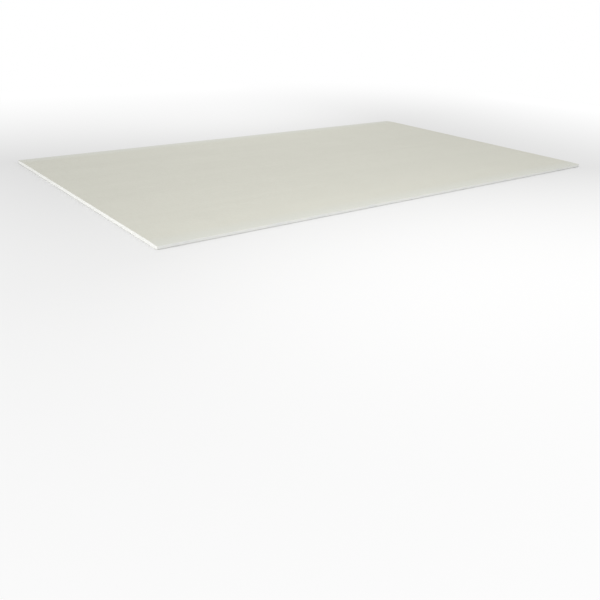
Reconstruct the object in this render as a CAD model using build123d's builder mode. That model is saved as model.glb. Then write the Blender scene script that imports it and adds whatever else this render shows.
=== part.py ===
import os

from build123d import *

# Drywall sheet: one gypsum board wrapped in paper, lying on its back with its face up.
# X runs along the long wrapped edges, Y across them, Z up through the thickness.
# The origin is the middle of the back. All sizes are in millimetres.

# The sheet
sheet_length = 2000
sheet_width = 1200
sheet_thickness = 12.5

# Tapered margin of the face along each long edge, which the joint tape fills
taper_width = 50
taper_depth = 1.5
taper_shoulder_radius = 400  # soft bend where the flat face starts to fall away

# Long edges, where the face paper folds round to the back
face_arris_radius = 2.5
back_arris_radius = 2

# The back paper stops short of the long edges and leaves a strip of the folded face paper bare
bare_strip_width = 15
back_paper_step = 0.3


def edge_section():
    """Corners of the +Y half of the section, from the back to the face: across, up, radius."""
    half_width = sheet_width / 2
    back_paper_edge = half_width - bare_strip_width
    shoulder = half_width - taper_width
    edge_height = sheet_thickness - taper_depth
    return [
        (back_paper_edge, 0, 0),
        (back_paper_edge, back_paper_step, 0),
        (half_width, back_paper_step, back_arris_radius),
        (half_width, edge_height, face_arris_radius),
        (shoulder, sheet_thickness, taper_shoulder_radius),
    ]


right_half = edge_section()
left_half = [(-across, up, radius) for across, up, radius in reversed(right_half)]
section = right_half + left_half

# The section runs the whole length, and both ends are cut off square
with BuildPart() as drywall_sheet:
    with BuildSketch(Plane.YZ):
        with BuildLine():
            FilletPolyline(
                *[(across, up) for across, up, radius in section],
                radius=[radius for across, up, radius in section],
                close=True,
            )
        make_face()
    extrude(amount=sheet_length / 2, both=True)

drywall_sheet.part.label = "drywall_sheet"

os.makedirs("parts", exist_ok=True)
export_step(drywall_sheet.part, "parts/drywall_sheet.step")
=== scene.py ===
import math

import bmesh
import bpy
import numpy as np
from mathutils import Matrix, Vector


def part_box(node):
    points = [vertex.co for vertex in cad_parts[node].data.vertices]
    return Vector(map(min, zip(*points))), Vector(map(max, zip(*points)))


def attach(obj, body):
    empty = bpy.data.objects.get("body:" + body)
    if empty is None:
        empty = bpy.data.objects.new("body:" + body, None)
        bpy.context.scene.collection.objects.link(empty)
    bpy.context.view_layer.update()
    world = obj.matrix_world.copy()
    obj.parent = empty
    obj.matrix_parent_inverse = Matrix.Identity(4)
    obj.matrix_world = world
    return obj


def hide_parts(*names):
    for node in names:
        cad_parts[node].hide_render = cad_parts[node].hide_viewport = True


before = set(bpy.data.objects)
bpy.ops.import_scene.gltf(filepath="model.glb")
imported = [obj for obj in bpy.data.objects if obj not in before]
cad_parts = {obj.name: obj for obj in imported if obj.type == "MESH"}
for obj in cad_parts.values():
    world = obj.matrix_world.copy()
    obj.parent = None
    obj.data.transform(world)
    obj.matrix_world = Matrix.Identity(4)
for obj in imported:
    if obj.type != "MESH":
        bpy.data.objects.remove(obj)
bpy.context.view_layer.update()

# Lengths are in metres. X runs along the long edges, Y across the sheet, Z up through it.
MM = 0.001

# The sheet's outer size comes from the frame
sheet_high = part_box("drywall_sheet")[1]
half_length = sheet_high.x
half_width = sheet_high.y
thickness = sheet_high.z

# Tapered margins of the face, and the long edges that the face paper wraps
taper_width = 50 * MM
taper_depth = 1.5 * MM
shoulder_radius = 400 * MM
face_arris_radius = 2.5 * MM
back_arris_radius = 2 * MM

# Where the face paper was folded round the long edges, above the back
upper_fold_height = 8.4 * MM
lower_fold_height = 2.5 * MM

# The back paper stops short of the long edges
bare_strip_width = 15 * MM
back_paper_step = 0.3 * MM
back_paper_bevel = 0.12 * MM

# Papers and core at the cut ends
paper_thickness = 0.35 * MM
core_recess = 0.25 * MM
core_relief = 0.2 * MM
lip_turn = 0.08 * MM

# How far the wrapped edges, margins and cuts depart from straight, the longest wave, and how far in it shows.
# Each next wave is shorter and lower.
edge_waver = 0.22 * MM
edge_waver_length = 0.6
edge_waver_reach = 12 * MM
margin_sag = 0.12 * MM
margin_sag_length = 0.9
margin_sag_reach = 40 * MM
cut_waver = 0.15 * MM
cut_waver_length = 0.25
cut_waver_reach = 8 * MM
wave_count = 7
wave_shortening = 1.7
wave_lowering = 0.75

# The four corners are a little worn, across the sheet and along it
corner_wear_across = 0.8 * MM
corner_wear_across_reach = 5 * MM
corner_wear_along = 1.0 * MM
corner_wear_along_reach = 4 * MM

# Mesh spacing
arris_steps = 10
margin_spacing = 5 * MM
flat_spacing = 6 * MM
length_spacing = 20 * MM
rows_through_core = 10
end_insets = np.array([0, 0.4, 1, 2, 4, 8]) * MM
merge_digits = 7  # places that agree to this many digits are one

# Edges that turn by more than this stay sharp, and the others are shaded smooth
sharp_angle = math.radians(30)

# Taper geometry
taper_slope = taper_depth / taper_width
edge_height = thickness - taper_depth
taper_angle = math.atan(taper_slope)
arris_centre_height = edge_height + face_arris_radius * (taper_slope - math.hypot(1, taper_slope))
arris_end = face_arris_radius * (1 - math.sin(taper_angle))
shoulder_end = taper_width + shoulder_radius * math.tan(taper_angle / 2)
shoulder_start = shoulder_end - shoulder_radius * math.sin(taper_angle)

chance = np.random.default_rng(12)


def spread(start, end, spacing):
    """Even steps from start to end, none longer than spacing."""
    return np.linspace(start, end, math.ceil((end - start) / spacing) + 1)


def round_height(radius, inset):
    """How high a quarter circle has risen at this distance in from its upright side."""
    return np.sqrt(np.maximum(radius**2 - np.maximum(radius - inset, 0) ** 2, 0))


def face_height(inset):
    """Height of the face at a distance in from the nearer long edge."""
    arris = arris_centre_height + round_height(face_arris_radius, inset)
    margin = edge_height + inset * taper_slope
    from_flat = np.clip(shoulder_end - inset, 0, shoulder_end - shoulder_start)
    shoulder = thickness - shoulder_radius + np.sqrt(shoulder_radius**2 - from_flat**2)
    return np.where(inset < arris_end, arris, np.where(inset < shoulder_start, margin, shoulder))


def back_height(inset):
    """Height of the back: a rounded arris, the bare strip, then the back paper at zero."""
    arris = back_paper_step + back_arris_radius - round_height(back_arris_radius, inset)
    return np.where(inset > bare_strip_width, 0, arris)


def wander(places, longest):
    """A smooth line from 0 to 1 that wavers without repeating, with its longest wave given."""
    total = np.zeros_like(places)
    reach = 0
    for wave in range(wave_count):
        length = longest / wave_shortening**wave
        height = wave_lowering**wave
        total += height * np.sin(2 * math.pi * (places / length + chance.random()))
        reach += height
    return 0.5 + 0.5 * total / reach


def fade(distance, reach):
    """1 at no distance, falling smoothly to 0 at reach."""
    return np.clip(1 - distance / reach, 0, 1) ** 2


class SheetShape:
    """The sheet's mesh: a ring of points for each station along it, and a cut end at both ends."""

    def __init__(self):
        arris = face_arris_radius * (1 - np.cos(np.linspace(0, math.pi / 2, arris_steps + 1)))
        insets = np.concatenate([
            arris,
            [back_arris_radius],
            spread(face_arris_radius, bare_strip_width, margin_spacing),
            [bare_strip_width + back_paper_bevel],
            spread(bare_strip_width + margin_spacing, shoulder_start, margin_spacing),
            spread(shoulder_start, shoulder_end, margin_spacing / 2),
            spread(shoulder_end, half_width, flat_spacing),
        ])
        insets = np.unique(insets.round(merge_digits))
        self.column_insets = np.concatenate([insets, insets[-2::-1]])
        self.column_y = np.concatenate([insets - half_width, (half_width - insets)[-2::-1]])
        self.columns = len(self.column_y)
        self.share_up = np.linspace(0, 1, rows_through_core + 1)
        self.face_line = face_height(self.column_insets)
        self.back_line = back_height(self.column_insets)
        self.make_ring()
        self.points = []
        self.faces = []
        self.finishes = []
        self.count = 0

    def make_ring(self):
        """The outline once round: along the back, up the far edge, back over the face, down the near edge."""
        grid = np.full((rows_through_core + 1, self.columns), -1)
        route = [(0, c) for c in range(self.columns)]
        route += [(r, self.columns - 1) for r in range(1, rows_through_core)]
        route += [(rows_through_core, c) for c in reversed(range(self.columns))]
        route += [(r, 0) for r in reversed(range(1, rows_through_core))]
        for number, (r, c) in enumerate(route):
            grid[r, c] = number
        self.ring_grid = grid
        rows, columns = np.array(route).T
        up = self.share_up[rows]
        self.ring_inset = self.column_insets[columns]
        self.ring_y = self.column_y[columns]
        self.ring_z = self.back_line[columns] * (1 - up) + self.face_line[columns] * up
        under = (rows == 0) & (self.ring_inset >= bare_strip_width)
        self.on_back = under & np.roll(under, -1)

    def add_points(self, x, y, z):
        """Adds points and returns the number of the first."""
        first = self.count
        self.points.append(np.stack([np.broadcast_to(x, y.shape), y, z], axis=-1).reshape(-1, 3))
        self.count += y.size
        return first

    def add_band(self, lower, upper, finishes):
        """Joins two rings of points with a band of four-sided faces."""
        here = np.arange(len(self.ring_y))
        after = np.roll(here, -1)
        band = np.stack([lower + here, lower + after, upper + after, upper + here], axis=-1)
        self.faces.append(band)
        self.finishes.append(np.broadcast_to(finishes, here.shape))

    def add_body(self):
        """All rings along the sheet, with a slight waver in the wrapped edges and the cuts."""
        near_end = half_length - end_insets
        between = spread(-near_end[-1], near_end[-1], length_spacing)
        stations = np.concatenate([-near_end[:-1], between, near_end[:-1][::-1]])
        stations = np.unique(stations.round(merge_digits))
        edge_wavers = {side: edge_waver * wander(stations, edge_waver_length) for side in (-1, 1)}
        margin_sags = {side: margin_sag * wander(stations, margin_sag_length) for side in (-1, 1)}
        cut_wavers = {end: cut_waver * wander(self.ring_y, cut_waver_length) for end in (-1, 1)}
        near_edge = fade(self.ring_inset, edge_waver_reach)
        near_corner = fade(self.ring_inset, corner_wear_along_reach)
        in_margin = fade(self.ring_inset, margin_sag_reach) * self.ring_z / thickness
        rings = []
        for number, x in enumerate(stations):
            from_end = half_length - abs(x)
            end = 1 if x > 0 else -1
            at_cut = fade(from_end, cut_waver_reach)
            at_corner = fade(from_end, corner_wear_across_reach)
            wavers = np.where(self.ring_y > 0, edge_wavers[1][number], edge_wavers[-1][number])
            sags = np.where(self.ring_y > 0, margin_sags[1][number], margin_sags[-1][number])
            inward = wavers * near_edge + corner_wear_across * at_corner * near_edge
            back_from_end = at_cut * (cut_wavers[end] + corner_wear_along * near_corner)
            rings.append(self.add_points(
                x - end * back_from_end,
                self.ring_y - np.sign(self.ring_y) * inward,
                self.ring_z - sags * in_margin,
            ))
        finishes = np.where(self.on_back, BACK_PAPER, FACE_PAPER)
        for lower, upper in zip(rings[:-1], rings[1:], strict=True):
            self.add_band(lower, upper, finishes)
        return rings[0], rings[-1]

    def ring_points(self, first):
        """The points of a ring that was added before."""
        return np.concatenate(self.points)[first:first + len(self.ring_y)]

    def inset_ring(self, first, depth, recess):
        """A ring inside another one, moved in by depth and back into the sheet by recess."""
        ring = self.ring_points(first)
        along = np.roll(ring, -1, axis=0)[:, 1:] - np.roll(ring, 1, axis=0)[:, 1:]
        along /= np.linalg.norm(along, axis=1, keepdims=True)
        y = ring[:, 1] - along[:, 1] * depth
        z = ring[:, 2] + along[:, 0] * depth
        x = ring[:, 0] - np.sign(ring[:, 0]) * recess
        return self.add_points(x, y, z)

    def add_end(self, outline):
        """Closes one end: the cut papers stand a little proud of the broken core between them."""
        lip = self.inset_ring(outline, paper_thickness, 0)
        core_edge = self.inset_ring(outline, paper_thickness + lip_turn, core_recess)
        self.add_band(outline, lip, CUT_PAPER)
        self.add_band(lip, core_edge, GYPSUM)
        self.add_core(core_edge)

    def add_core(self, core_edge):
        """The gypsum between the papers, as a grid of points that are broken back unevenly."""
        ring = self.ring_points(core_edge)
        below = ring[self.ring_grid[0, 1:-1]]
        above = ring[self.ring_grid[-1, 1:-1]]
        up = self.share_up[1:-1, None, None]
        inner = below * (1 - up) + above * up
        rough = chance.random(inner.shape[:2])
        rough = (rough + np.roll(rough, 1, axis=0) + np.roll(rough, 1, axis=1)) / 3
        end = np.sign(inner[..., 0])
        inner_x = inner[..., 0] - end * core_relief * rough
        first = self.add_points(inner_x, inner[..., 1], inner[..., 2])
        grid = core_edge + self.ring_grid
        grid[1:-1, 1:-1] = first + np.arange(rough.size).reshape(rough.shape)
        squares = np.stack([grid[:-1, :-1], grid[:-1, 1:], grid[1:, 1:], grid[1:, :-1]], axis=-1)
        self.faces.append(squares.reshape(-1, 4))
        self.finishes.append(np.full(squares.shape[0] * squares.shape[1], GYPSUM))

    def make(self, name, finishes):
        """Builds the Blender object, closed, smooth over its arrises and sharp at its cuts."""
        for outline in self.add_body():
            self.add_end(outline)
        mesh = bpy.data.meshes.new(name)
        mesh.from_pydata(np.concatenate(self.points).tolist(), [], np.concatenate(self.faces).tolist())
        mesh.polygons.foreach_set("material_index", np.concatenate(self.finishes).astype(np.int32))
        for finish in finishes:
            mesh.materials.append(finish)
        tidy = bmesh.new()
        tidy.from_mesh(mesh)
        bmesh.ops.recalc_face_normals(tidy, faces=tidy.faces)
        for face in tidy.faces:
            face.smooth = True
        for edge in tidy.edges:
            edge.smooth = edge.calc_face_angle(0) < sharp_angle
        tidy.to_mesh(mesh)
        tidy.free()
        sheet = bpy.data.objects.new(name, mesh)
        bpy.context.scene.collection.objects.link(sheet)
        even = sheet.modifiers.new("even_shading", "WEIGHTED_NORMAL")
        even.keep_sharp = True
        return sheet


# The finishes' numbers on the mesh, in the order in which the sheet is given them
FACE_PAPER, BACK_PAPER, CUT_PAPER, GYPSUM = range(4)

# Colours of the face paper
face_deep = (0.6, 0.597, 0.525, 1)
face_light = (0.69, 0.687, 0.61, 1)
face_pale_fibre = (0.78, 0.78, 0.72, 1)
face_dark_fibre = (0.4, 0.37, 0.3, 1)
margin_highlight_colour = (0.67, 0.685, 0.645, 1)
wrap_wear_and_highlight_colour = (0.745, 0.75, 0.735, 1)
edge_patch_colour = (0.6, 0.625, 0.64, 1)
crease_shade_colour = (0.5, 0.5, 0.47, 1)

# Colours of the back paper
back_deep = (0.33, 0.305, 0.26, 1)
back_light = (0.5, 0.475, 0.42, 1)
back_pale_fibre = (0.66, 0.64, 0.58, 1)
back_dark_fibre = (0.16, 0.14, 0.12, 1)

# Colours at the cut ends
plies_deep = (0.46, 0.44, 0.385, 1)
plies_light = (0.64, 0.625, 0.57, 1)
gypsum_deep = (0.7, 0.695, 0.66, 1)
gypsum_light = (0.86, 0.86, 0.835, 1)
hole_shade_colour = (0.4, 0.385, 0.35, 1)

# How matte the papers and the core are, and the depth of their fine relief
specular_level = 0.3
face_grain_depth = 0.06 * MM
paper_grain_depth = 0.05 * MM
gypsum_grain_depth = 0.2 * MM
fleck_softness = 0.05
fold_line_half_width = 0.4 * MM
fold_line_core = 0.1 * MM


class Amount:
    """A number that varies over a surface. Sums and products of it are Math nodes."""

    def __init__(self, finish, socket):
        self.finish = finish
        self.socket = socket

    def __add__(self, other):
        return self.finish.math("ADD", self, other)

    def __sub__(self, other):
        return self.finish.math("SUBTRACT", self, other)

    def __rsub__(self, other):
        return self.finish.math("SUBTRACT", other, self)

    def __mul__(self, other):
        return self.finish.math("MULTIPLY", self, other)

    def __abs__(self):
        return self.finish.math("ABSOLUTE", self)

    __radd__ = __add__
    __rmul__ = __mul__


class Finish:
    """The nodes of one material or of the world, with short ways to add to them."""

    def __init__(self, owner):
        owner.use_nodes = True
        self.tree = owner.node_tree
        self.tree.nodes.clear()

    def node(self, kind, settings, sockets):
        """Adds a node, sets it up, and gives its sockets their values or links."""
        made = self.tree.nodes.new("ShaderNode" + kind)
        for name, value in settings.items():
            setattr(made, name, value)
        for name, value in sockets.items():
            source = getattr(value, "socket", value)
            if isinstance(source, bpy.types.NodeSocket):
                self.tree.links.new(source, made.inputs[name])
            else:
                made.inputs[name].default_value = source
        return made

    def math(self, operation, *values):
        """The result of a Math node."""
        sockets = dict(enumerate(values))
        return Amount(self, self.node("Math", {"operation": operation}, sockets).outputs[0])

    def place(self, stretch=(1, 1, 1), turn=0):
        """The point on the sheet, in metres, turned about Z and then stretched for a pattern."""
        here = self.node("TexCoord", {}, {}).outputs["Object"]
        turned = self.node("VectorRotate", {"rotation_type": "Z_AXIS"}, {"Vector": here, "Angle": turn})
        spun = turned.outputs["Vector"]
        return self.node("VectorMath", {"operation": "MULTIPLY"}, {0: spun, 1: stretch}).outputs[0]

    def along(self, axes):
        """The point's distances along the axes that are named, such as YZ."""
        parts = self.node("SeparateXYZ", {}, {"Vector": self.place()})
        return [Amount(self, parts.outputs[axis]) for axis in axes]

    def clouds(self, grain, detail=2.0, stretch=(1, 1, 1), turn=0, rough=0.5):
        """Soft noise from about 0.2 to 0.8, whose patches are about one grain across."""
        sockets = {
            "Vector": self.place(stretch, turn),
            "Scale": 1 / grain,
            "Detail": detail,
            "Roughness": rough,
        }
        return Amount(self, self.node("TexNoise", {}, sockets).outputs["Fac"])

    def cells(self, grain):
        """Distance from the nearest of many scattered points, about one grain apart."""
        sockets = {"Vector": self.place(), "Scale": 1 / grain}
        return Amount(self, self.node("TexVoronoi", {"feature": "F1"}, sockets).outputs["Distance"])

    def ramp(self, amount, low, high):
        """0 up to low, 1 from high on, and a smooth rise between. With low above high it falls."""
        settings = {"interpolation_type": "SMOOTHSTEP"}
        sockets = {"Value": amount, "From Min": low, "From Max": high}
        return Amount(self, self.node("MapRange", settings, sockets).outputs["Result"])

    def blend(self, share, first, second):
        """The first colour where share is 0 and the second where it is 1."""
        sockets = {0: share, 6: first, 7: second}
        return self.node("Mix", {"data_type": "RGBA"}, sockets).outputs[2]

    def bump(self, height, depth):
        """Surface relief of this depth in metres, from a height between 0 and 1."""
        sockets = {"Strength": 1.0, "Distance": depth, "Height": height}
        return self.node("Bump", {}, sockets).outputs["Normal"]

    def surface(self, colour, roughness, normal):
        """A plain matte surface."""
        sockets = {
            "Base Color": colour,
            "Roughness": roughness,
            "Normal": normal,
            "Specular IOR Level": specular_level,
        }
        shader = self.node("BsdfPrincipled", {}, sockets).outputs["BSDF"]
        self.node("OutputMaterial", {}, {"Surface": shader})


def flecks(finish, length, width, rarity, turns):
    """Short fibres lying in several directions: 1 on a fibre, 0 elsewhere."""
    total = 0
    for turn in turns:
        strand = finish.clouds(width, detail=0.0, stretch=(width / length, 1, 1), turn=turn)
        total = total + finish.ramp(strand, rarity, rarity + fleck_softness)
    return finish.math("MINIMUM", total, 1.0)


def fold_line(finish, above):
    """A thin line on the long edges where the paper was folded, from the height above it."""
    return finish.ramp(abs(above), fold_line_half_width, fold_line_core)


def face_paper():
    """Ivory-grey face paper: cloudy formation, faint bands along the sheet, fine fibres."""
    material = bpy.data.materials.new("face_paper")
    finish = Finish(material)
    y, z = finish.along("YZ")
    formation = finish.clouds(9 * MM, detail=3.0)
    patches = finish.clouds(160 * MM, detail=2.0)
    bands = finish.clouds(45 * MM, detail=2.0, stretch=(0.03, 1, 1))
    tone = formation * 0.45 + patches * 0.3 + bands * 0.45 - 0.1
    base = finish.blend(tone, face_deep, face_light)
    pale = flecks(finish, length=3 * MM, width=0.18 * MM, rarity=0.68, turns=(0.3, 1.9))
    dark = flecks(finish, length=2.2 * MM, width=0.15 * MM, rarity=0.7, turns=(0.9, 2.6))
    with_pale = finish.blend(pale * 0.5, base, face_pale_fibre)
    with_dark = finish.blend(dark * 0.45, with_pale, face_dark_fibre)
    below_face = finish.ramp(z, edge_height, edge_height - face_arris_radius)
    at_edge = finish.ramp(abs(y), half_width - 2 * face_arris_radius, half_width)
    # The wrapped long edges are painted lighter in patches: partly rubbed wear, partly a painted highlight on
    # the upright edges.
    rubbed_and_highlit = below_face * at_edge * (0.6 + 0.4 * finish.clouds(4 * MM, stretch=(0.2, 1, 1)))
    # Faint blue-grey patches at random along the long edges.
    edge_patches = finish.ramp(finish.clouds(40 * MM, detail=3.0, stretch=(0.5, 1, 1)), 0.5, 0.7) * at_edge
    # Both tapered margins are painted paler and bluer: a painted highlight along the taper.
    margin_start = half_width - 1.6 * taper_width
    margin_full = half_width - 0.2 * taper_width
    margin = finish.ramp(abs(y), margin_start, margin_full)
    with_margin_highlight = finish.blend(margin * 0.5, with_dark, margin_highlight_colour)
    with_wrap_wear_and_highlight = finish.blend(rubbed_and_highlit, with_margin_highlight, wrap_wear_and_highlight_colour)
    with_edge_patches = finish.blend(edge_patches * 0.35, with_wrap_wear_and_highlight, edge_patch_colour)
    upper_fold = fold_line(finish, z - upper_fold_height)
    lower_fold = fold_line(finish, z - lower_fold_height)
    pressed = finish.ramp(finish.clouds(12 * MM, detail=3.0, stretch=(0.3, 1, 1)), 0.35, 0.65)
    folds = (upper_fold + lower_fold) * at_edge * pressed
    # The fold lines are painted darker: painted shade in their creases.
    colour = finish.blend(folds * 0.3, with_edge_patches, crease_shade_colour)
    grain = finish.clouds(0.7 * MM, detail=3.0, rough=0.65)
    felt = finish.clouds(3 * MM, detail=1.0)
    normal = finish.bump(grain * 0.6 + felt * 0.4 - folds * 0.8, face_grain_depth)
    roughness = 0.72 + 0.2 * grain
    finish.surface(colour, roughness, normal)
    return material


def back_paper():
    """Grey-brown back paper of recycled stock, with coarser fibres and more cloud."""
    material = bpy.data.materials.new("back_paper")
    finish = Finish(material)
    formation = finish.clouds(7 * MM, detail=4.0)
    patches = finish.clouds(120 * MM, detail=2.0)
    bands = finish.clouds(35 * MM, detail=2.0, stretch=(0.03, 1, 1))
    tone = formation * 0.6 + patches * 0.35 + bands * 0.45 - 0.2
    base = finish.blend(tone, back_deep, back_light)
    pale = flecks(finish, length=3 * MM, width=0.18 * MM, rarity=0.66, turns=(0.2, 1.3, 2.3))
    dark = flecks(finish, length=2.4 * MM, width=0.15 * MM, rarity=0.68, turns=(0.7, 1.8, 2.8))
    with_pale = finish.blend(pale * 0.5, base, back_pale_fibre)
    colour = finish.blend(dark * 0.5, with_pale, back_dark_fibre)
    grain = finish.clouds(0.9 * MM, detail=3.0, rough=0.7)
    felt = finish.clouds(4 * MM, detail=1.0)
    normal = finish.bump(grain * 0.6 + felt * 0.4, paper_grain_depth)
    roughness = 0.78 + 0.2 * grain
    finish.surface(colour, roughness, normal)
    return material


def cut_paper():
    """The cut edge of either paper, where its greyer inner plies show."""
    material = bpy.data.materials.new("cut_paper")
    finish = Finish(material)
    plies = finish.clouds(1.5 * MM, detail=3.0)
    colour = finish.blend(plies, plies_deep, plies_light)
    normal = finish.bump(plies, paper_grain_depth)
    roughness = 0.95
    finish.surface(colour, roughness, normal)
    return material


def gypsum():
    """Chalky core at the cut ends: cream white, with fine pores and a few larger bubbles."""
    material = bpy.data.materials.new("gypsum")
    finish = Finish(material)
    height = finish.along("Z")[0]
    off_middle = abs(height - thickness / 2)
    dense = finish.ramp(off_middle, thickness * 0.3, thickness * 0.48)
    mottle = finish.clouds(5 * MM, detail=4.0)
    streaks = finish.clouds(1.6 * MM, detail=2.0, stretch=(1, 0.06, 1))
    tone = mottle * 2 + streaks * 0.8 + dense * 0.3 - 0.9
    base = finish.blend(tone, gypsum_deep, gypsum_light)
    crumbs = finish.clouds(0.8 * MM, detail=4.0, rough=0.7)
    ragged = (crumbs - 0.5) * 0.5
    pores = finish.ramp(finish.cells(0.9 * MM) + ragged, 0.32, 0.12)
    scatter = finish.ramp(finish.clouds(2.5 * MM), 0.5, 0.62)
    foamy = finish.ramp(finish.clouds(14 * MM), 0.45, 0.65)
    bubbles = finish.ramp(finish.cells(3.2 * MM) + ragged, 0.18, 0.08) * (1 - dense) * foamy
    holes = finish.math("MAXIMUM", pores * scatter * 0.5, bubbles)
    # Pores and bubbles are painted darker: painted shade inside them.
    colour = finish.blend(holes * 0.55, base, hole_shade_colour)
    normal = finish.bump(crumbs * 0.4 - holes * 0.6 + 0.6, gypsum_grain_depth)
    roughness = 0.85 + 0.1 * crumbs
    finish.surface(colour, roughness, normal)
    return material


def make_floor():
    """A pale floor that keeps the sheet's shadow and turns into the white background further out."""
    bpy.ops.mesh.primitive_circle_add(vertices=floor_sides, radius=floor_radius, fill_type="NGON")
    floor = bpy.context.object
    floor.name = "floor"
    floor.location.z = -floor_drop
    material = bpy.data.materials.new("pale_floor")
    finish = Finish(material)
    seen = seen_directly(finish)
    x, y = finish.along("XY")
    beyond_end = finish.math("MAXIMUM", abs(x) - half_length, 0)
    beyond_edge = finish.math("MAXIMUM", abs(y) - half_width, 0)
    distance = finish.math("SQRT", beyond_end * beyond_end + beyond_edge * beyond_edge)
    still_pale = finish.math("MAXIMUM", 1 - distance * (1 / white_at), 0)
    far = (1 - still_pale * still_pale) * seen
    colour = finish.blend(seen, floor_bounce, floor_seen)
    matte = finish.node("BsdfDiffuse", {}, {"Color": colour}).outputs["BSDF"]
    white = finish.node("Emission", {}, {"Color": white_light, "Strength": 1.0}).outputs["Emission"]
    shader = finish.node("MixShader", {}, {0: far, 1: matte, 2: white}).outputs["Shader"]
    finish.node("OutputMaterial", {}, {"Surface": shader})
    floor.data.materials.append(material)


def seen_directly(finish):
    """1 for a ray from the camera, or one that it sees in a reflection or through glass."""
    light_path = finish.node("LightPath", {}, {})
    rays = ("Is Camera Ray", "Is Glossy Ray", "Is Transmission Ray")
    camera, glossy, through = (Amount(finish, light_path.outputs[ray]) for ray in rays)
    return finish.math("MINIMUM", camera + glossy + through, 1.0)


def make_world():
    """White where it is seen, and a softer dome of light where it is not."""
    world = bpy.data.worlds.new("studio")
    bpy.context.scene.world = world
    finish = Finish(world)
    strength = dome_light + (1 - dome_light) * seen_directly(finish)
    sockets = {"Color": white_light, "Strength": strength}
    background = finish.node("Background", {}, sockets).outputs["Background"]
    finish.node("OutputWorld", {}, {"Surface": background})


def make_lamp(name, place, aim, size, power, colour):
    """A soft rectangular lamp."""
    lamp = bpy.data.lights.new(name, "AREA")
    lamp.shape = "RECTANGLE"
    lamp.size, lamp.size_y = size
    lamp.energy = power
    lamp.color = colour
    holder = bpy.data.objects.new(name, lamp)
    holder.location = place
    away = Vector(place) - Vector(aim)
    holder.rotation_euler = away.to_track_quat("Z", "Y").to_euler()
    holder.visible_camera = False
    bpy.context.scene.collection.objects.link(holder)


def make_strip(name, place, aim, power):
    """A long low lamp that lights one side of the sheet."""
    make_lamp(name, place, aim, strip_size, power, cool_white)


def make_camera():
    """The photograph's view of the sheet, fitted to the outlines and corners of its face."""
    lens = bpy.data.cameras.new("camera")
    lens.sensor_width = sensor_width
    lens.lens = camera_lens
    camera = bpy.data.objects.new("camera", lens)
    turn = Matrix.Rotation(math.radians(camera_azimuth), 4, "Z")
    tilt = Matrix.Rotation(math.radians(90 - camera_pitch), 4, "X")
    roll = Matrix.Rotation(math.radians(camera_roll), 4, "Z")
    camera.matrix_world = Matrix.Translation(camera_place) @ turn @ tilt @ roll
    bpy.context.scene.collection.objects.link(camera)
    bpy.context.scene.camera = camera


# Camera
camera_place = (-1.8108, -2.2859, 0.6689)
camera_azimuth = -37.887
camera_pitch = 23.702
camera_roll = 1.99
camera_lens = 42.636
sensor_width = 36

# Light
dome_light = 0.782
white_light = (1, 1, 1, 1)
warm_white = (1.0, 0.995, 0.98)
cool_white = (0.97, 0.985, 1.0)
key_place = (-0.36, -1.44, 1.2)
key_aim = (0, -0.3, 0)
key_size = (1.8, 1.2)
key_power = 9.9
overhead_place = (0.37, 1.15, 0.9)
overhead_aim = (0.37, 1.15, 0)
overhead_size = (1.2, 0.8)
overhead_power = 2
strip_size = (1.8, 0.05)
left_place = (-2.8, -0.4, 0.035)
left_aim = (-half_length, -0.2, 0)
left_power = 16
right_place = (2.8, 0.3, 0.035)
right_aim = (half_length, 0, 0)
right_power = 11
back_place = (0.2, 2.5, 0.035)
back_aim = (0, half_width, 0)
back_power = 10

# Floor
floor_radius = 12
floor_sides = 96
floor_drop = 0.2 * MM
floor_seen = (0.83, 0.83, 0.83, 1)
floor_bounce = (0.8, 0.8, 0.8, 1)
white_at = 2.0  # how far from the sheet the floor has turned white

make_camera()
sheet = SheetShape().make("papered_sheet", [face_paper(), back_paper(), cut_paper(), gypsum()])
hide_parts("drywall_sheet")
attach(sheet, "root")
make_floor()
make_world()
make_lamp("key", key_place, key_aim, key_size, key_power, warm_white)
make_lamp("overhead", overhead_place, overhead_aim, overhead_size, overhead_power, warm_white)
make_strip("left_strip", left_place, left_aim, left_power)
make_strip("right_strip", right_place, right_aim, right_power)
make_strip("back_strip", back_place, back_aim, back_power)

bpy.context.scene.view_settings.view_transform = "Standard"
